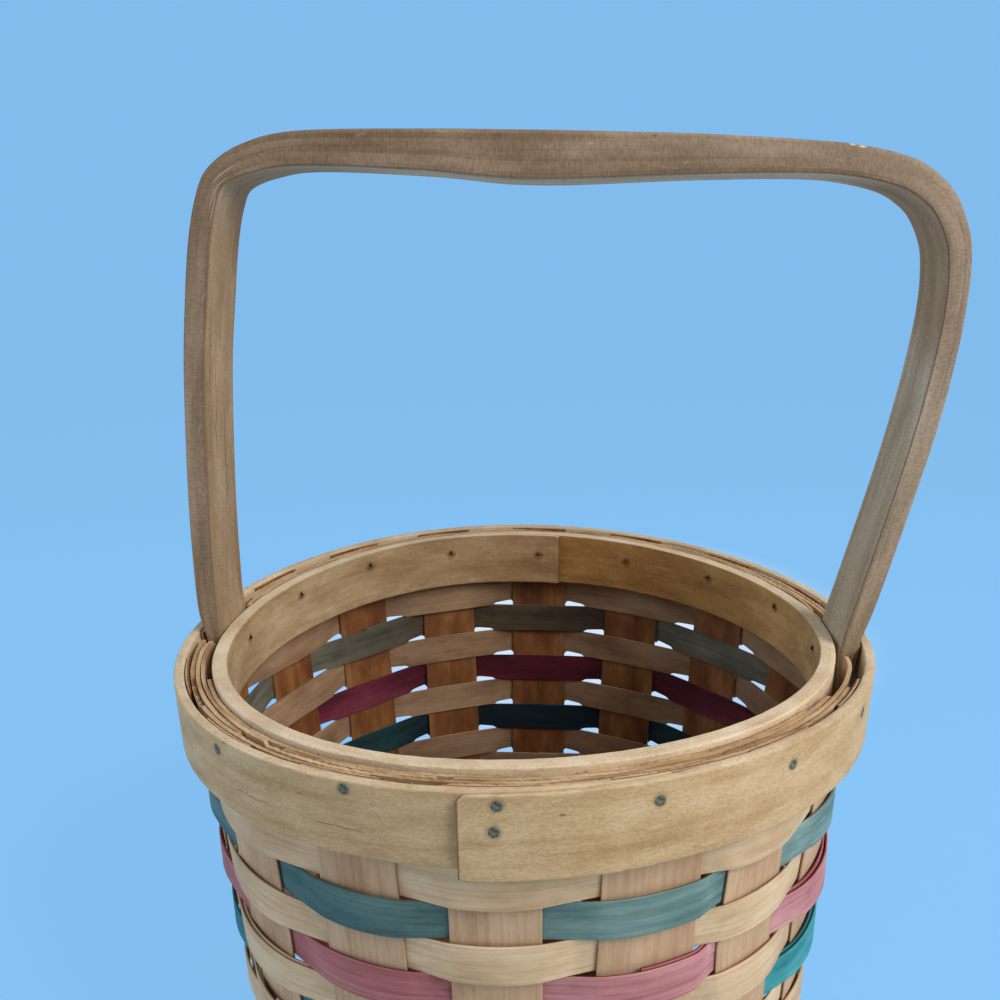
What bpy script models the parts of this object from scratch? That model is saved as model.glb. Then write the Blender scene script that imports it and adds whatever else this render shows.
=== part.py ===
"""Round tapered splint basket with a fixed bentwood handle.

The basket stands on the XY plane with its axis upright.  The handle arches over it along X.
Every piece is drawn about the basket's axis and then moved to its place.

Sixteen stakes are the two ends of eight splints that cross in a woven square base.  Rings of
weaver go over one stake and under the next, and each ring laps over its own start.  Two lapped
hoops clamp the stake tops, the rim filler and the shaved feet of the handle, and nails driven
from outside are turned over on the inner hoop.
"""
from math import asin, atan, cos, degrees, pi, radians, sin, sqrt, tan

import bmesh
import bpy
from mathutils import Vector

# Fit between neighbouring pieces
FIT_GAP = 0.0003

# Body; its axis stands left of the middle of the overall width, as the handle leans right
AXIS_X = -0.0091
RIM_RADIUS = 0.120
BODY_HEIGHT = 0.170
WALL_TAPER = 0.10
RIM_TUCK = 0.0042
RIM_SADDLE = 0.0023
SADDLE_HIGH_AT = radians(-72.0)
RIM_OVAL = 0.0020
OVAL_LONG_AT = radians(60.0)

# Stakes and base
SPLINTS_EACH_WAY = 4
STAKE_WIDTH = 0.0245
STAKE_THICKNESS = 0.0009
STAKE_TOP_DROP = 0.0006
BASE_BEND_RADIUS = 0.009
BASE_BEND_STEPS = 4
BASE_CORNER_MARGIN = 0.003
STRAY_FULL_HEIGHT = 0.105
STAKE_STRAY = (
    (-157.5, 0.0),
    (-135.0, 2.9),
    (-112.5, 2.3),
    (-90.0, -0.6),
    (-67.5, -2.4),
    (-45.0, -4.4),
    (-22.5, -4.8),
    (0.0, 0.0),
)

# Weavers
WEAVER_WIDTH = 0.0116
WEAVER_THICKNESS = 0.0009
ROW_PITCH = 0.0120
ROW_COUNT = 11
FIRST_ROW_GAP = 0.0016
WEAVER_CROWN = 0.0008
LAPPED_STAKES = 3
ROW_LAP_STAKE = (4, 3, 6, 13, 8, 13, 10, 1, 14, 5, 0)
DYED_ROWS = {2: "sage", 4: "rose", 6: "teal"}

# Hoops
OUTER_HOOP_THICKNESS = 0.0032
OUTER_HOOP_HEIGHT = 0.0242
OUTER_HOOP_NARROWING = 0.0026
OUTER_HOOP_TAPER = 0.05
OUTER_LAP_AT = radians(-94.4)
INNER_HOOP_THICKNESS = 0.0050
INNER_HOOP_HEIGHT = 0.0220
INNER_HOOP_TAPER = 0.03
INNER_LAP_AT = radians(84.5)
LAP_ANGLE = radians(27.0)
LAP_TIP_THICKNESS = 0.0013
LAP_FEATHER = 0.0006
HOOP_SEGMENTS = 64

# Rim filler between the hoops
RIM_SPACE = 0.0075
FILLER_DROP = 0.0012
FILLER_HEIGHT = 0.0195
FILLER_END_GAP = 0.0008
FILLER_SEGMENTS = 24

# Nails
NAIL_HEAD_RADIUS = 0.0019
NAIL_HEAD_THICKNESS = 0.0007
NAIL_HEAD_EDGE = 0.0004
NAIL_CROWN_RADIUS = 0.0015
NAIL_SHANK_RADIUS = 0.00075
NAIL_TIP_RADIUS = 0.0004
NAIL_CLINCH = 0.0030
NAIL_DROP = 0.0048
NAIL_WANDER = 0.0020
NAIL_WAVES = 3
NAIL_LOW_AT = radians(-37.0)
LAP_NAIL_DROP = 0.0104
NAIL_SIDES = 8
BORE_OVERRUN = 0.0038

# Handle
HANDLE_WIDTH = 0.028
HANDLE_EDGE_EASE = 0.0010
HANDLE_RISE = 0.1605
FOOT_DEPTH = 0.0210
LEFT_LEG = ((0.0012, 0.28, 0.0074), (-0.0010, 0.55, 0.0075), (-0.0040, 0.72, 0.0078), (-0.0066, 0.83, 0.0076))
RIGHT_LEG = ((0.0052, 0.10, 0.0067), (0.0135, 0.31, 0.0067), (0.0191, 0.47, 0.0069), (0.0230, 0.63, 0.0067),
             (0.0241, 0.705, 0.0066))
LEFT_CORNER = ((-0.0097, 0.0152, 0.0074), (-0.0138, 0.0078, 0.0076), (-0.0243, 0.0026, 0.0094))
RIGHT_CORNER = ((0.0239, 0.0356, 0.0070), (0.0229, 0.0302, 0.0073), (0.0188, 0.0206, 0.0080),
                (0.0137, 0.0148, 0.0086), (0.0055, 0.0099, 0.0090), (-0.0092, 0.0064, 0.0092))
GRIP = ((-0.0690, 0.0000, 0.0106), (-0.0310, 0.0011, 0.0126), (-0.0060, 0.0028, 0.0146),
        (0.0120, 0.0034, 0.0147), (0.0305, 0.0036, 0.0136), (0.0545, 0.0038, 0.0120),
        (0.0845, 0.0049, 0.0098))
KNOT_STEPS = 2

# Values that follow from the sizes above
STAKE_COUNT = 4 * SPLINTS_EACH_WAY
STAKE_ANGLE = 2.0 * pi / STAKE_COUNT
STAKE_RIM_RADIUS = RIM_RADIUS - OUTER_HOOP_THICKNESS - FIT_GAP - STAKE_THICKNESS / 2
LAYER_STEP = WEAVER_THICKNESS + FIT_GAP
WEAVE_SEAT = (STAKE_THICKNESS + WEAVER_THICKNESS) / 2 + FIT_GAP
FIRST_ROW_DEPTH = OUTER_HOOP_HEIGHT + FIRST_ROW_GAP
INNER_HOOP_RADIUS = STAKE_RIM_RADIUS - STAKE_THICKNESS / 2 - RIM_SPACE
BASE_CROSSING = (STAKE_THICKNESS + FIT_GAP) / 2
BASE_MID_HEIGHT = STAKE_THICKNESS / 2 + BASE_CROSSING
SHOULDER_RADIUS = STAKE_RIM_RADIUS - RIM_TUCK
BASE_RADIUS = SHOULDER_RADIUS - WALL_TAPER * (BODY_HEIGHT - OUTER_HOOP_HEIGHT - BASE_MID_HEIGHT)
BEND_ANGLE = pi / 2 - atan(WALL_TAPER)
BEND_TANGENT = BASE_BEND_RADIUS * tan(BEND_ANGLE / 2)
FLAT_RADIUS = BASE_RADIUS - BEND_TANGENT
MAT_HALF = FLAT_RADIUS / sqrt(2.0) - BASE_CORNER_MARGIN
BASE_PITCH = 2 * (MAT_HALF - STAKE_WIDTH / 2) / (SPLINTS_EACH_WAY - 1)
BASE_TURN = STAKE_ANGLE * (((SPLINTS_EACH_WAY - 1) / 2) % 1)

NATURAL = (0.60, 0.40, 0.22)
STAKE_WOOD = (0.52, 0.31, 0.15)
HOOP_WOOD = (0.55, 0.38, 0.20)
HANDLE_WOOD = (0.24, 0.16, 0.10)
SAGE = (0.11, 0.18, 0.17)
ROSE = (0.42, 0.12, 0.13)
TEAL = (0.02, 0.19, 0.18)
STEEL = (0.25, 0.27, 0.26)


# Scene and materials
def clear_scene():
    for thing in list(bpy.data.objects):
        bpy.data.objects.remove(thing, do_unlink=True)


def finish(name, colour, roughness=0.7, metallic=0.0):
    """One Principled material for one part."""
    material = bpy.data.materials.new(name)
    material.use_nodes = True
    shader = material.node_tree.nodes["Principled BSDF"]
    shader.inputs["Base Color"].default_value = (*colour, 1.0)
    shader.inputs["Roughness"].default_value = roughness
    shader.inputs["Metallic"].default_value = metallic
    return material


def add_object(name, bm, material):
    """Turn a bmesh into a named object with smooth round faces."""
    bmesh.ops.recalc_face_normals(bm, faces=bm.faces)
    mesh = bpy.data.meshes.new(name)
    bm.to_mesh(mesh)
    bm.free()
    mesh.shade_smooth()
    mesh.set_sharp_from_angle(angle=radians(35.0))
    mesh.materials.append(material)
    thing = bpy.data.objects.new(name, mesh)
    thing.location.x = AXIS_X
    bpy.context.collection.objects.link(thing)
    return thing


def sweep(name, sections, material):
    """Extrude one end face through every section of a strip, bar or nail."""
    bm = bmesh.new()
    end = bm.faces.new([bm.verts.new(point) for point in sections[0]])
    for step, section in enumerate(sections[1:]):
        grown = bmesh.ops.extrude_face_region(bm, geom=[end])["geom"]
        if step > 0:
            bm.faces.remove(end)
        end = next(item for item in grown if isinstance(item, bmesh.types.BMFace))
        for vert, point in zip(end.verts, section):
            vert.co = point
    return add_object(name, bm, material)


def drill(thing, bores):
    """Cut the nail bores through a piece of the rim."""
    cut = thing.modifiers.new("nail_bores", "BOOLEAN")
    cut.operation = "DIFFERENCE"
    cut.solver = "EXACT"
    cut.object = bores


# The wall that every piece follows
def wall_radius(depth):
    """Middle of a stake at a depth below the rim; it turns inwards under the outer hoop."""
    if depth < OUTER_HOOP_HEIGHT:
        return STAKE_RIM_RADIUS - RIM_TUCK * depth / OUTER_HOOP_HEIGHT
    return SHOULDER_RADIUS - WALL_TAPER * (depth - OUTER_HOOP_HEIGHT)


def hoop_back(depth):
    """Outer face of the inner hoop at a depth below the rim."""
    return INNER_HOOP_RADIUS - INNER_HOOP_TAPER * depth


def stray(angle, height):
    """How far a stake leans sideways from its even place; it grows up the lower wall."""
    turn = degrees(angle + pi) % 360.0 - 180.0
    lean = 0.0
    for (start, from_lean), (stop, to_lean) in zip(STAKE_STRAY, STAKE_STRAY[1:]):
        if start <= turn <= stop:
            lean = from_lean + (to_lean - from_lean) * (turn - start) / (stop - start)
    rise = (height - BASE_BEND_RADIUS) / (STRAY_FULL_HEIGHT - BASE_BEND_RADIUS)
    return radians(lean) * min(1.0, max(0.0, rise))


def lift(angle, height):
    """Saddle of the rim, which fades towards the flat base."""
    return RIM_SADDLE * cos(2.0 * (angle - SADDLE_HIGH_AT)) * (height / BODY_HEIGHT) ** 2


def oval(angle, depth):
    """How far the body stands out of round, which fades down the lower wall."""
    share = min(1.0, (BODY_HEIGHT - depth) / STRAY_FULL_HEIGHT)
    return RIM_OVAL * cos(2.0 * (angle - OVAL_LONG_AT)) * share


def place(angle, radius, depth):
    """A point of the body from its angle, mean radius and depth below the rim."""
    height = BODY_HEIGHT - depth
    true = radius + oval(angle, depth)
    return Vector((true * cos(angle), true * sin(angle), height + lift(angle, height)))


def stake_angle(even_angle, across, radius, depth):
    """True angle of a point at a distance across a stake, from the stake's even angle."""
    return even_angle + stray(even_angle, BODY_HEIGHT - depth) + across / radius


# Stakes: each splint runs down one wall, across the base and up the far wall
def wall_stations():
    """Depths of the stations of a stake from its top to the start of the bend."""
    bend_depth = BODY_HEIGHT - BASE_MID_HEIGHT - BEND_TANGENT * cos(atan(WALL_TAPER))
    straight = BODY_HEIGHT - STRAY_FULL_HEIGHT
    return (STAKE_TOP_DROP, OUTER_HOOP_HEIGHT, straight, (straight + bend_depth) / 2, bend_depth)


def bend_points():
    """Radius, height and share of the bend of a splint's middle, from wall to base."""
    points = []
    for step in range(1, BASE_BEND_STEPS + 1):
        share = step / BASE_BEND_STEPS
        swing = atan(WALL_TAPER) + BEND_ANGLE * share
        radius = FLAT_RADIUS + BASE_BEND_RADIUS * cos(swing)
        height = BASE_MID_HEIGHT + BASE_BEND_RADIUS * (1.0 - sin(swing))
        points.append((radius, height, share))
    return points


def half_splint(even_angle, heading, offset, side):
    """Middle points of one end of a splint, three across, from the stake top to the base.

    heading is the direction of the splint on the base and side its handedness there.
    """
    columns = (-STAKE_WIDTH / 2, 0.0, STAKE_WIDTH / 2)
    rows = []
    for depth in wall_stations():
        radius = wall_radius(depth)
        angles = [stake_angle(even_angle, across, radius, depth) for across in columns]
        middle = [place(angle, radius, depth) for angle in angles]
        outward = [Vector((point.x, point.y, -WALL_TAPER * radius)).normalized() for point in middle]
        rows.append((middle, outward))
    for radius, height, share in bend_points():
        middle = []
        outward = []
        tilt = atan(WALL_TAPER) + BEND_ANGLE * share
        for across in columns:
            on_wall = even_angle + across / radius
            on_base = heading + asin((offset * side + across) / radius)
            angle = on_wall + (on_base - on_wall) * share
            flat = Vector((cos(angle), sin(angle), 0.0))
            middle.append(flat * radius + Vector((0.0, 0.0, height)))
            outward.append(flat * cos(tilt) - Vector((0.0, 0.0, sin(tilt))))
        rows.append((middle, outward))
    return rows


def base_crossings(index, way):
    """Stations of a splint on the base, up and down over the splints that cross it."""
    stations = []
    for other in range(SPLINTS_EACH_WAY):
        along = (other - (SPLINTS_EACH_WAY - 1) / 2) * BASE_PITCH
        crossed = other if way else SPLINTS_EACH_WAY - 1 - other
        over = 1.0 if (crossed + index + way) % 2 else -1.0
        half = STAKE_WIDTH / 2 + FIT_GAP
        for edge in (-half, half):
            stations.append((along + edge, BASE_MID_HEIGHT + over * BASE_CROSSING))
    return stations


def splint_sections(index, way):
    """Closed cross-sections of a whole splint from one stake top to the other."""
    rank = index - (SPLINTS_EACH_WAY - 1) / 2
    heading = BASE_TURN + way * pi / 2
    offset = rank * BASE_PITCH
    forward = Vector((cos(heading), sin(heading), 0.0))
    left = Vector((-sin(heading), cos(heading), 0.0))
    near = half_splint(heading + pi - rank * STAKE_ANGLE, heading + pi, offset, -1.0)
    far = half_splint(heading + rank * STAKE_ANGLE, heading, offset, 1.0)
    rows = list(near)
    for along, height in base_crossings(index, way):
        middle = []
        for across in (-STAKE_WIDTH / 2, 0.0, STAKE_WIDTH / 2):
            spot = forward * along + left * (offset - across)
            middle.append(Vector((spot.x, spot.y, height)))
        rows.append((middle, [Vector((0.0, 0.0, -1.0))] * 3))
    for middle, outward in reversed(far):
        rows.append((middle[::-1], outward[::-1]))
    half = STAKE_THICKNESS / 2
    sections = []
    for middle, outward in rows:
        outside = [point + normal * half for point, normal in zip(middle, outward)]
        inside = [point - normal * half for point, normal in zip(middle, outward)]
        sections.append(outside + inside[::-1])
    return sections


def make_splints(bores):
    wood = finish("stake_wood", STAKE_WOOD)
    for way, label in enumerate(("lengthwise", "crosswise")):
        for index in range(SPLINTS_EACH_WAY):
            splint = sweep(f"stake_splint_{label}_{index + 1}", splint_sections(index, way), wood)
            drill(splint, bores)


# Weavers: over one, under one, each ring lapped over its own start
def weaver_path(row):
    """Even angle, distance across the stake and shift from the wall at each station."""
    start = ROW_LAP_STAKE[(row - 1) % len(ROW_LAP_STAKE)]
    if (start + row) % 2 == 0:
        start += 1
    path = []
    for count in range(STAKE_COUNT + LAPPED_STAKES + 1):
        stake = start + count
        outside = (stake + row) % 2 == 1
        side = 1.0 if outside else -1.0
        shift = 0.0
        if count <= LAPPED_STAKES and not outside:
            shift = -LAYER_STEP
        if count >= STAKE_COUNT and outside:
            shift = LAYER_STEP
        edge = side * WEAVE_SEAT + shift
        crown = side * (WEAVE_SEAT + WEAVER_CROWN) + shift
        even_angle = stake * STAKE_ANGLE
        half = STAKE_WIDTH / 2
        if count > 0:
            path.append((even_angle, -half, edge))
        path.append((even_angle, 0.0, crown))
        if count < STAKE_COUNT + LAPPED_STAKES:
            path.append((even_angle, half, edge))
    return path


def weaver_sections(row):
    """Upright cross-sections of one ring of weaver."""
    top = FIRST_ROW_DEPTH + (row - 1) * ROW_PITCH
    half = WEAVER_THICKNESS / 2
    corners = ((top, half), (top + WEAVER_WIDTH, half), (top + WEAVER_WIDTH, -half), (top, -half))
    sections = []
    for even_angle, across, shift in weaver_path(row):
        section = []
        for depth, layer in corners:
            radius = wall_radius(depth)
            angle = stake_angle(even_angle, across, radius, depth)
            section.append(place(angle, radius + shift + layer, depth))
        sections.append(section)
    return sections


def make_weavers():
    dyes = {
        "natural": finish("natural_weaver", NATURAL),
        "sage": finish("sage_weaver", SAGE),
        "rose": finish("rose_weaver", ROSE),
        "teal": finish("teal_weaver", TEAL),
    }
    for row in range(1, ROW_COUNT + 1):
        dye = DYED_ROWS.get(row, "natural")
        sweep(f"weaver_{row:02d}_{dye}", weaver_sections(row), dyes[dye])


# Hoops: one strip each, its ends thinned and lapped
def hoop_sections(lap_at, thickness, height, narrowing, true_face, growth):
    """Cross-sections of a lapped hoop.

    true_face gives the face that lies on the stakes or filler, and growth is the way from it
    to the free face: 1 outwards, -1 inwards.  The lapping end comes first, and the other end
    thins out under it.  The strip narrows from below along its first turn.
    """
    lap_steps = max(2, round(HOOP_SEGMENTS * LAP_ANGLE / (2.0 * pi)))
    turn_steps = HOOP_SEGMENTS - lap_steps
    turns = [LAP_ANGLE * step / lap_steps for step in range(lap_steps)]
    turns += [LAP_ANGLE + (2.0 * pi - LAP_ANGLE) * step / turn_steps for step in range(turn_steps)]
    turns += [2.0 * pi + LAP_ANGLE * step / lap_steps for step in range(lap_steps + 1)]
    sections = []
    for turn in turns:
        near, far = 0.0, thickness
        bottom = height - narrowing * min(1.0, turn / (2.0 * pi))
        if turn < LAP_ANGLE:
            share = turn / LAP_ANGLE
            near = thickness + (LAP_FEATHER - thickness) * share + FIT_GAP
            far = thickness + (LAP_TIP_THICKNESS + FIT_GAP) * (1.0 - share)
        if turn > 2.0 * pi:
            share = (turn - 2.0 * pi) / LAP_ANGLE
            far = thickness + (LAP_FEATHER - thickness) * share
        if turn == LAP_ANGLE:
            near = LAP_FEATHER + FIT_GAP
        angle = lap_at + turn
        section = []
        for depth, layer in ((0.0, near), (0.0, far), (bottom, far), (bottom, near)):
            section.append(place(angle, true_face(depth) + growth * layer, depth))
        sections.append(section)
    return sections


def outer_hoop_face(depth):
    return RIM_RADIUS - OUTER_HOOP_THICKNESS - OUTER_HOOP_TAPER * depth


def make_hoops(bores):
    wood = finish("hoop_wood", HOOP_WOOD)
    outer = hoop_sections(OUTER_LAP_AT, OUTER_HOOP_THICKNESS, OUTER_HOOP_HEIGHT,
                          OUTER_HOOP_NARROWING, outer_hoop_face, 1.0)
    inner = hoop_sections(INNER_LAP_AT, INNER_HOOP_THICKNESS, INNER_HOOP_HEIGHT, 0.0, hoop_back, -1.0)
    drill(sweep("outer_hoop", outer, wood), bores)
    drill(sweep("inner_hoop", inner, wood), bores)


# Rim filler: two layers of splint on each side, ending at the feet of the handle
def filler_face(depth, share):
    """Radius at a share of the way from the inner hoop to the stakes."""
    near = hoop_back(depth) + FIT_GAP
    far = wall_radius(depth) - STAKE_THICKNESS / 2 - FIT_GAP
    return near + (far - near) * share


def make_filler(bores):
    wood = finish("filler_wood", NATURAL)
    foot_angle = asin((HANDLE_WIDTH / 2 + FILLER_END_GAP) / INNER_HOOP_RADIUS)
    top = FILLER_DROP
    bottom = FILLER_DROP + FILLER_HEIGHT
    for label, middle in (("back", pi / 2), ("front", -pi / 2)):
        for layer, layer_name in enumerate(("inner", "outer")):
            sections = []
            for step in range(FILLER_SEGMENTS + 1):
                angle = middle + (pi / 2 - foot_angle) * (2.0 * step / FILLER_SEGMENTS - 1.0)
                section = []
                for depth, side in ((top, 0), (top, 1), (bottom, 1), (bottom, 0)):
                    radius = filler_face(depth, (layer + side) / 2)
                    if layer == 0 and side == 1:
                        radius -= FIT_GAP / 2
                    if layer == 1 and side == 0:
                        radius += FIT_GAP / 2
                    section.append(place(angle, radius, depth))
                sections.append(section)
            drill(sweep(f"rim_filler_{label}_{layer_name}", sections, wood), bores)


# Nails: driven square to the outer hoop and turned up inside
def nail_stations():
    """Name, even angle and depth of every nail."""
    nails = []
    for index in range(STAKE_COUNT):
        even_angle = index * STAKE_ANGLE
        depth = NAIL_DROP + NAIL_WANDER * cos(NAIL_WAVES * (even_angle - NAIL_LOW_AT))
        nails.append((f"rim_nail_{index + 1:02d}", even_angle, depth))
    front_stake = round(3 * STAKE_COUNT / 4) * STAKE_ANGLE
    nails.append(("lap_nail", front_stake, LAP_NAIL_DROP))
    return nails


def lap_height(angle, lap_at):
    """How far the lapping end of a hoop stands proud of it at an angle."""
    turn = (angle - lap_at) % (2.0 * pi)
    if turn >= LAP_ANGLE:
        return 0.0
    return (LAP_TIP_THICKNESS + FIT_GAP) * (1.0 - turn / LAP_ANGLE)


def nail_axis(even_angle, depth):
    """Seat of the nail head on the outer hoop and the direction in which it is driven."""
    angle = stake_angle(even_angle, 0.0, RIM_RADIUS, depth)
    radius = RIM_RADIUS - OUTER_HOOP_TAPER * depth + lap_height(angle, OUTER_LAP_AT)
    seat = place(angle, radius, depth)
    tilt = atan(OUTER_HOOP_TAPER)
    inward = Vector((-cos(angle) * cos(tilt), -sin(angle) * cos(tilt), sin(tilt)))
    return angle, seat, inward


def ring(centre, normal, sideways, radius):
    """A regular polygon of points about an axis, with its first point to the given side."""
    upward = normal.cross(sideways)
    points = []
    for side in range(NAIL_SIDES):
        swing = 2.0 * pi * side / NAIL_SIDES
        points.append(centre + sideways * radius * cos(swing) + upward * radius * sin(swing))
    return points


def nail_reach(angle, depth, seat, inward):
    """Distance along the nail from its seat to the inside face of the inner hoop."""
    flat = sqrt(inward.x ** 2 + inward.y ** 2)
    inside = hoop_back(depth) - INNER_HOOP_THICKNESS - lap_height(angle, INNER_LAP_AT) + oval(angle, depth)
    return (sqrt(seat.x ** 2 + seat.y ** 2) - inside) / flat


def make_nails():
    steel = finish("nail_steel", STEEL, roughness=0.45, metallic=1.0)
    for name, even_angle, depth in nail_stations():
        angle, seat, inward = nail_axis(even_angle, depth)
        reach = nail_reach(angle, depth, seat, inward) + FIT_GAP + NAIL_SHANK_RADIUS
        under = seat - inward * FIT_GAP
        turned = seat + inward * reach
        down = Vector((0.0, 0.0, -1.0))
        side = Vector((-sin(angle), cos(angle), 0.0))
        sections = [
            ring(under - inward * NAIL_HEAD_THICKNESS, inward, side, NAIL_CROWN_RADIUS),
            ring(under - inward * NAIL_HEAD_EDGE, inward, side, NAIL_HEAD_RADIUS),
            ring(under, inward, side, NAIL_HEAD_RADIUS),
            ring(under, inward, side, NAIL_SHANK_RADIUS),
            ring(turned, (inward + down).normalized(), side, NAIL_SHANK_RADIUS),
            ring(turned + down * NAIL_CLINCH, down, side, NAIL_TIP_RADIUS),
        ]
        sweep(name, sections, steel)


def make_bores():
    """One guide with a cylinder for every nail; it cuts the bores and is not a part."""
    bm = bmesh.new()
    for name, even_angle, depth in nail_stations():
        angle, seat, inward = nail_axis(even_angle, depth)
        length = nail_reach(angle, depth, seat, inward) + 2.0 * BORE_OVERRUN
        before = set(bm.verts)
        bmesh.ops.create_cone(
            bm, cap_ends=True, segments=NAIL_SIDES, depth=length,
            radius1=NAIL_SHANK_RADIUS + FIT_GAP, radius2=NAIL_SHANK_RADIUS + FIT_GAP)
        centre = seat + inward * (length / 2 - BORE_OVERRUN)
        turn = inward.to_track_quat("Z", "Y").to_matrix().to_4x4()
        turn.translation = centre
        bmesh.ops.transform(bm, matrix=turn, verts=[vert for vert in bm.verts if vert not in before])
    guide = add_object("nail_bore_guide", bm, finish("guide", (0.5, 0.5, 0.5)))
    guide.hide_render = True
    guide.display_type = "WIRE"
    return guide


# Handle: one bent strip, thick at the grip and thinned to feet between the hoops
def seat_faces(depth):
    """Inner and outer face of a handle foot at a depth below the rim.

    The middle of the foot comes nearest to the inner hoop, and one edge of it to the stake.
    """
    inner = hoop_back(depth) + oval(0.0, depth) + FIT_GAP
    edge = asin(HANDLE_WIDTH / 2 / wall_radius(depth))
    narrow = min(oval(edge, depth), oval(-edge, depth))
    round_face = wall_radius(depth) + narrow - STAKE_THICKNESS / 2 - FIT_GAP
    return inner, sqrt(round_face ** 2 - (HANDLE_WIDTH / 2) ** 2)


def foot_knots(side):
    """Knots of a foot, from its end up to the rim."""
    knots = []
    for depth in (FOOT_DEPTH, FOOT_DEPTH / 2, 0.0):
        inner, outer = seat_faces(depth)
        knots.append((side * (inner + outer) / 2, BODY_HEIGHT - depth, outer - inner))
    return knots


def handle_knots():
    """Across, height and thickness of the handle from its left foot to its right foot."""
    inner, outer = seat_faces(0.0)
    seat = (inner + outer) / 2
    top = BODY_HEIGHT + HANDLE_RISE
    knots = foot_knots(-1.0)
    knots += [(-seat - step, BODY_HEIGHT + share * HANDLE_RISE, thick) for step, share, thick in LEFT_LEG]
    knots += [(-seat - step, top - drop, thick) for step, drop, thick in LEFT_CORNER]
    knots += [(across, top - drop, thick) for across, drop, thick in GRIP]
    knots += [(seat + step, top - drop, thick) for step, drop, thick in reversed(RIGHT_CORNER)]
    knots += [(seat + step, BODY_HEIGHT + share * HANDLE_RISE, thick)
              for step, share, thick in reversed(RIGHT_LEG)]
    knots += reversed(foot_knots(1.0))
    return [Vector(knot) for knot in knots]


def smooth_run(knots, first, last):
    """Points on a smooth curve through the knots between two of them."""
    points = []
    for spot in range(first, last):
        before, start, stop, after = (knots[max(0, spot - 1)], knots[spot], knots[spot + 1],
                                      knots[min(len(knots) - 1, spot + 2)])
        for step in range(KNOT_STEPS):
            share = step / KNOT_STEPS
            points.append(0.5 * (2.0 * start + (stop - before) * share
                                 + (2.0 * before - 5.0 * start + 4.0 * stop - after) * share ** 2
                                 + (3.0 * start - before - 3.0 * stop + after) * share ** 3))
    return points


def handle_section(point, along):
    """Rectangle with eased edges, square to the run of the handle."""
    across, height, thick = point
    centre = Vector((across, 0.0, height))
    out = Vector((-along.z, 0.0, along.x))
    half_thick = thick / 2
    half_wide = HANDLE_WIDTH / 2
    ease = HANDLE_EDGE_EASE
    section = []
    for wide, deep in ((1, 1), (1, -1), (-1, -1), (-1, 1)):
        corners = [
            (wide * half_wide, deep * (half_thick - ease)),
            (wide * (half_wide - ease), deep * half_thick),
        ]
        if wide == deep:
            corners.reverse()
        section += [centre + Vector((0.0, sideways, 0.0)) + out * lift_off for sideways, lift_off in corners]
    return section


def make_handle(bores):
    knots = handle_knots()
    rim_knot = 2
    last = len(knots) - 1
    points = [knots[0], knots[1]]
    points += smooth_run(knots, rim_knot, last - rim_knot)
    points += [knots[last - rim_knot], knots[last - 1], knots[last]]
    sections = []
    for spot, point in enumerate(points):
        ahead = points[min(len(points) - 1, spot + 1)]
        behind = points[max(0, spot - 1)]
        along = Vector((ahead.x - behind.x, 0.0, ahead.y - behind.y)).normalized()
        if spot <= rim_knot or spot >= len(points) - 1 - rim_knot:
            along = Vector((0.0, 0.0, 1.0 if spot <= rim_knot else -1.0))
        sections.append(handle_section(point, along))
    drill(sweep("handle", sections, finish("handle_wood", HANDLE_WOOD)), bores)


clear_scene()
bore_guide = make_bores()
make_splints(bore_guide)
make_weavers()
make_hoops(bore_guide)
make_filler(bore_guide)
make_nails()
make_handle(bore_guide)
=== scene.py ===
"""A round basket woven from flat wood splints, with two rim hoops and a bentwood handle."""
from math import asin, atan, cos, degrees, pi, radians, sin, sqrt, tan

import bmesh
import bpy
from mathutils import Matrix, Vector, noise


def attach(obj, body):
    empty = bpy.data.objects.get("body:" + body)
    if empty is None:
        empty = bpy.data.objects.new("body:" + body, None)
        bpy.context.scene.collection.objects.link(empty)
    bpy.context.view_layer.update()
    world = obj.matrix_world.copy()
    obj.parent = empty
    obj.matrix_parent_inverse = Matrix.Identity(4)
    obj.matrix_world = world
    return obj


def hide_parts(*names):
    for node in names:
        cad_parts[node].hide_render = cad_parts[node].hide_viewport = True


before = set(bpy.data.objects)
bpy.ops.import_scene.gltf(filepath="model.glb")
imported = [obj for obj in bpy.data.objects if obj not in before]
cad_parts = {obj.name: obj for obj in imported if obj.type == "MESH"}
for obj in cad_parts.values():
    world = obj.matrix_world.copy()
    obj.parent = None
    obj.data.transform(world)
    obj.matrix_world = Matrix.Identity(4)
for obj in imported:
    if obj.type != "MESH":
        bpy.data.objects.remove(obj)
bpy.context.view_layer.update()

# Camera
# It looks slightly down through the handle and cuts the basket off below its sixth row.
# The lens gives a frame as wide as its distance, and the camera leans a little to the left.
CAMERA_AT = Vector((0.0116, -0.3371, 0.3000))
CAMERA_YAW = radians(-4.944)
CAMERA_PITCH = radians(14.197)
CAMERA_ROLL = radians(-0.547)

ahead = Vector((sin(CAMERA_YAW) * cos(CAMERA_PITCH), cos(CAMERA_YAW) * cos(CAMERA_PITCH),
                -sin(CAMERA_PITCH)))
level = Vector((cos(CAMERA_YAW), -sin(CAMERA_YAW), 0.0))
upright = level.cross(ahead)
right = cos(CAMERA_ROLL) * level + sin(CAMERA_ROLL) * upright
up = -sin(CAMERA_ROLL) * level + cos(CAMERA_ROLL) * upright
camera = bpy.data.objects.new("camera", bpy.data.cameras.new("camera"))
camera.data.sensor_width = 36.0
camera.data.lens = 36.0
camera.data.clip_start = 0.01
camera.matrix_world = Matrix.Translation(CAMERA_AT) @ Matrix((right, up, -ahead)).transposed().to_4x4()
bpy.context.collection.objects.link(camera)
bpy.context.scene.camera = camera

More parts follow.
